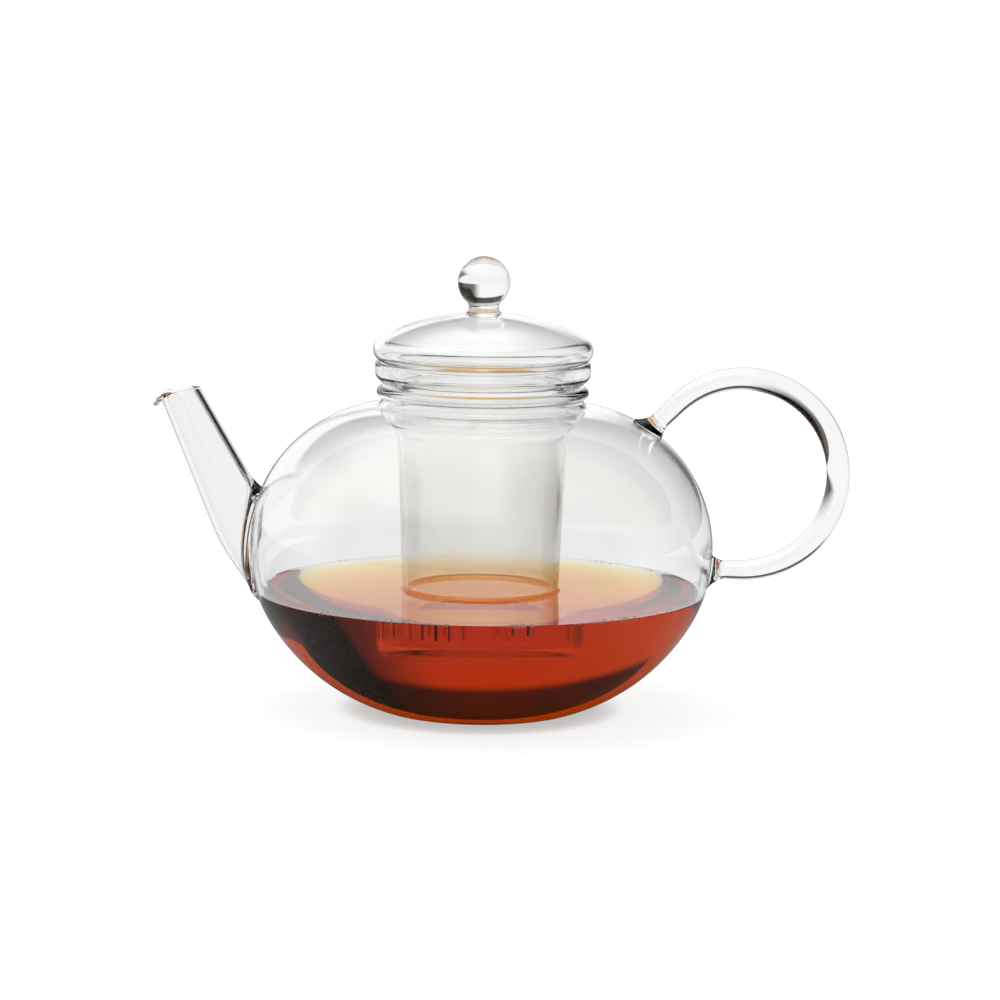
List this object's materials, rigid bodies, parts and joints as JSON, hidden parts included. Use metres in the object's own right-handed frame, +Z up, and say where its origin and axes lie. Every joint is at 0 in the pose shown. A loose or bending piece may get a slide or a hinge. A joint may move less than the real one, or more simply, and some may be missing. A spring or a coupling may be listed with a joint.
{
  "type": "glass teapot with infuser",
  "caption": "Round clear glass teapot with a tapered spout, looped rod handle, lift-out slotted glass infuser and a loose domed lid with a ball knob.",
  "frame": {"origin": "centre of the pot's foot, on the table", "axes": "+Z up along the pot's axis, -X towards the spout, +X towards the handle, -Y towards the viewer of the picture"},
  "size_m": [0.2708, 0.1804, 0.1769],
  "materials": {
    "pot_glass": "clear polished",
    "infuser_glass": "clear polished, lightly fogged inside",
    "lid_glass": "clear polished"
  },
  "bodies": {
    "pot": {"pot_body": "pot_glass", "spout": "pot_glass", "handle": "pot_glass"},
    "infuser": {"infuser": "infuser_glass"},
    "lid": {"lid_dome": "lid_glass", "lid_knob": "lid_glass"}
  },
  "joints": [
    {"name": "infuser_lift", "type": "slide", "parent": "pot", "child": "infuser", "axis": [0, 0, 1], "range_m": [0, 0.11]},
    {"name": "lid_lift", "type": "slide", "parent": "infuser", "child": "lid", "axis": [0, 0, 1], "range_m": [0, 0.06]}
  ]
}
